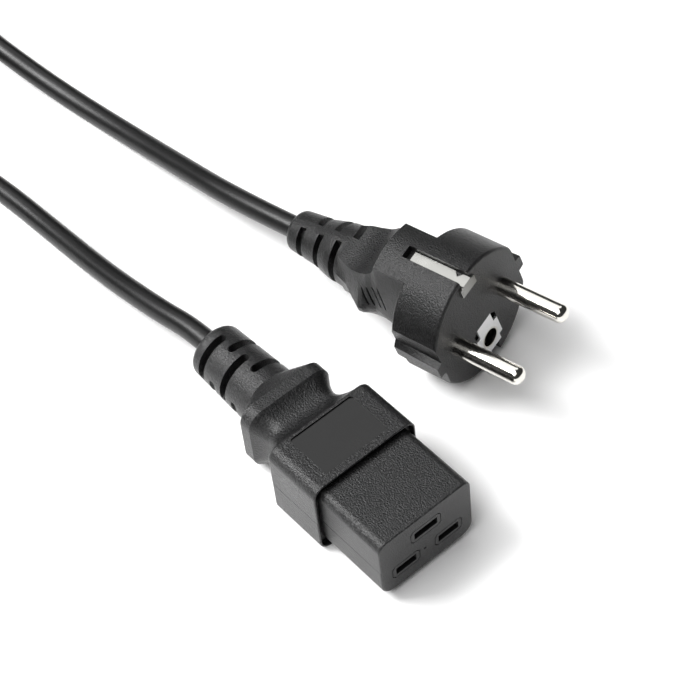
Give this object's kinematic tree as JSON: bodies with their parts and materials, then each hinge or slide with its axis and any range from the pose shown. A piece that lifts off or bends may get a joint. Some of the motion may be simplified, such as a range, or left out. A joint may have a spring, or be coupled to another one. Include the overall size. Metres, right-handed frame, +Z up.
{
  "type": "c19 power connector",
  "caption": "Straight moulded C19 power connector with a stepped rectangular nose, finger flange and slotted strain relief, on a cord to a CEE 7/7 plug.",
  "frame": {"origin": "centre of the connector's mating face", "axes": "+X out of the mating face, the way the connector is pushed into its inlet; +Z up, on the side of the earth slot; +Y to the right looking at the face; the set lies on the level surface z = -0.0115"},
  "size_m": [0.3009, 0.1235, 0.0369],
  "materials": {
    "connector_pvc": "black PVC with a fine spark texture",
    "plug_pvc": "black PVC with a fine satin texture",
    "insert_plastic": "black moulded, smooth",
    "bridge_plastic": "dark grey moulded",
    "cord_sheath": "black PVC, smooth and slightly glossy",
    "pin_nickel": "nickel plated and polished",
    "contact_brass": "folded sheet, bright",
    "clip_steel": "nickel plated spring strip",
    "plate_metal": "matt plated sheet",
    "copper": "bare stranded copper",
    "core_brown": "brown PVC insulation",
    "core_blue": "blue PVC insulation",
    "core_green": "green and yellow PVC insulation"
  },
  "bodies": {
    "root": {"connector_overmould": "connector_pvc", "connector_insert": "insert_plastic", "contact_line": "contact_brass", "contact_neutral": "contact_brass", "contact_earth": "contact_brass", "connector_core_line": "core_brown", "connector_core_neutral": "core_blue", "connector_core_earth": "core_green", "connector_wire_line": "copper", "connector_wire_neutral": "copper", "connector_wire_earth": "copper", "connector_sheath_end": "cord_sheath", "cord_connector_run": "cord_sheath", "cord_coil": "cord_sheath", "cord_plug_run": "cord_sheath", "plug_overmould": "plug_pvc", "plug_bridge": "bridge_plastic", "plug_pin_line": "pin_nickel", "plug_pin_neutral": "pin_nickel", "plug_earth_clip": "clip_steel", "plug_earth_plate": "plate_metal", "plug_earth_sleeve": "pin_nickel", "plug_earth_terminal": "pin_nickel", "plug_core_line": "core_brown", "plug_core_neutral": "core_blue", "plug_core_earth": "core_green", "plug_wire_line": "copper", "plug_wire_neutral": "copper", "plug_wire_earth": "copper", "plug_sheath_end": "cord_sheath"}
  },
  "joints": []
}
